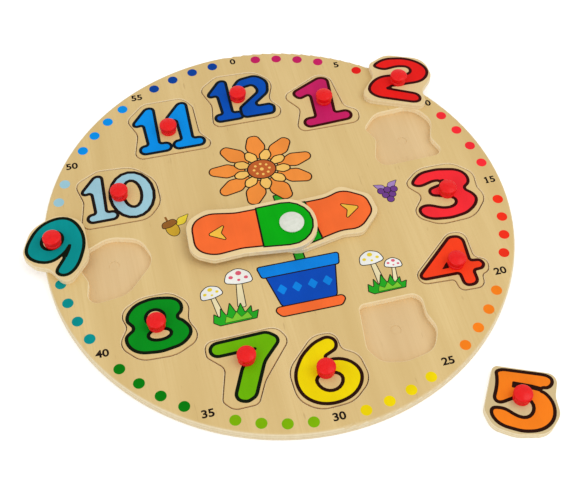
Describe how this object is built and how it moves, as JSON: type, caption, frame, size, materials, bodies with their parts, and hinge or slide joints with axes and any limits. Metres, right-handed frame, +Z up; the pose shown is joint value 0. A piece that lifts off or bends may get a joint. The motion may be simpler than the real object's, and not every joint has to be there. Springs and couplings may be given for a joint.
{
  "type": "clock puzzle",
  "caption": "Round wooden clock puzzle: number inserts with red knobs lift out of shaped pockets round the dial, and wooden hands turn on a button at its middle.",
  "frame": {"origin": "middle of the board's underside, which lies on the table", "axes": "+Z up, out of the dial; +Y towards twelve o'clock; +X towards three o'clock"},
  "size_m": [0.3114, 0.3288, 0.0193],
  "materials": {
    "board_wood": "clear matt lacquer on pale plywood",
    "number_wood": "clear matt lacquer on pale plywood",
    "hand_wood": "clear matt lacquer on pale plywood",
    "knob_plastic": "gloss red",
    "button_plastic": "gloss white",
    "steel": "plain"
  },
  "bodies": {
    "board": {"back_board": "board_wood", "face_board": "board_wood", "pivot_button": "button_plastic", "pivot_clip": "steel"},
    "number_1": {"number_1": "number_wood", "knob_1": "knob_plastic", "knob_pin_1": "steel"},
    "number_2": {"number_2": "number_wood", "knob_2": "knob_plastic", "knob_pin_2": "steel"},
    "number_3": {"number_3": "number_wood", "knob_3": "knob_plastic", "knob_pin_3": "steel"},
    "number_4": {"number_4": "number_wood", "knob_4": "knob_plastic", "knob_pin_4": "steel"},
    "number_5": {"number_5": "number_wood", "knob_5": "knob_plastic", "knob_pin_5": "steel"},
    "number_6": {"number_6": "number_wood", "knob_6": "knob_plastic", "knob_pin_6": "steel"},
    "number_7": {"number_7": "number_wood", "knob_7": "knob_plastic", "knob_pin_7": "steel"},
    "number_8": {"number_8": "number_wood", "knob_8": "knob_plastic", "knob_pin_8": "steel"},
    "number_9": {"number_9": "number_wood", "knob_9": "knob_plastic", "knob_pin_9": "steel"},
    "number_10": {"number_10": "number_wood", "knob_10": "knob_plastic", "knob_pin_10": "steel"},
    "number_11": {"number_11": "number_wood", "knob_11": "knob_plastic", "knob_pin_11": "steel"},
    "number_12": {"number_12": "number_wood", "knob_12": "knob_plastic", "knob_pin_12": "steel"},
    "hour_hand": {"hour_hand": "hand_wood"},
    "minute_hand": {"minute_hand": "hand_wood"}
  },
  "joints": [
    {"name": "number_1_lift", "type": "slide", "parent": "board", "child": "number_1", "axis": [0, 0, 1], "range_m": [0, 0.06]},
    {"name": "number_2_lift", "type": "slide", "parent": "board", "child": "number_2", "axis": [0, 0, 1], "range_m": [0, 0.06]},
    {"name": "number_3_lift", "type": "slide", "parent": "board", "child": "number_3", "axis": [0, 0, 1], "range_m": [0, 0.06]},
    {"name": "number_4_lift", "type": "slide", "parent": "board", "child": "number_4", "axis": [0, 0, 1], "range_m": [0, 0.06]},
    {"name": "number_5_lift", "type": "slide", "parent": "board", "child": "number_5", "axis": [0, 0, 1], "range_m": [0, 0.06]},
    {"name": "number_6_lift", "type": "slide", "parent": "board", "child": "number_6", "axis": [0, 0, 1], "range_m": [0, 0.06]},
    {"name": "number_7_lift", "type": "slide", "parent": "board", "child": "number_7", "axis": [0, 0, 1], "range_m": [0, 0.06]},
    {"name": "number_8_lift", "type": "slide", "parent": "board", "child": "number_8", "axis": [0, 0, 1], "range_m": [0, 0.06]},
    {"name": "number_9_lift", "type": "slide", "parent": "board", "child": "number_9", "axis": [0, 0, 1], "range_m": [0, 0.06]},
    {"name": "number_10_lift", "type": "slide", "parent": "board", "child": "number_10", "axis": [0, 0, 1], "range_m": [0, 0.06]},
    {"name": "number_11_lift", "type": "slide", "parent": "board", "child": "number_11", "axis": [0, 0, 1], "range_m": [0, 0.06]},
    {"name": "number_12_lift", "type": "slide", "parent": "board", "child": "number_12", "axis": [0, 0, 1], "range_m": [0, 0.06]},
    {"name": "hour_hand_turn", "type": "hinge", "parent": "board", "child": "hour_hand", "pos_m": [0.005, -0.01, 0.007], "axis": [0, 0, -1], "continuous": true},
    {"name": "minute_hand_turn", "type": "hinge", "parent": "board", "child": "minute_hand", "pos_m": [0.005, -0.01, 0.007], "axis": [0, 0, -1], "continuous": true}
  ]
}
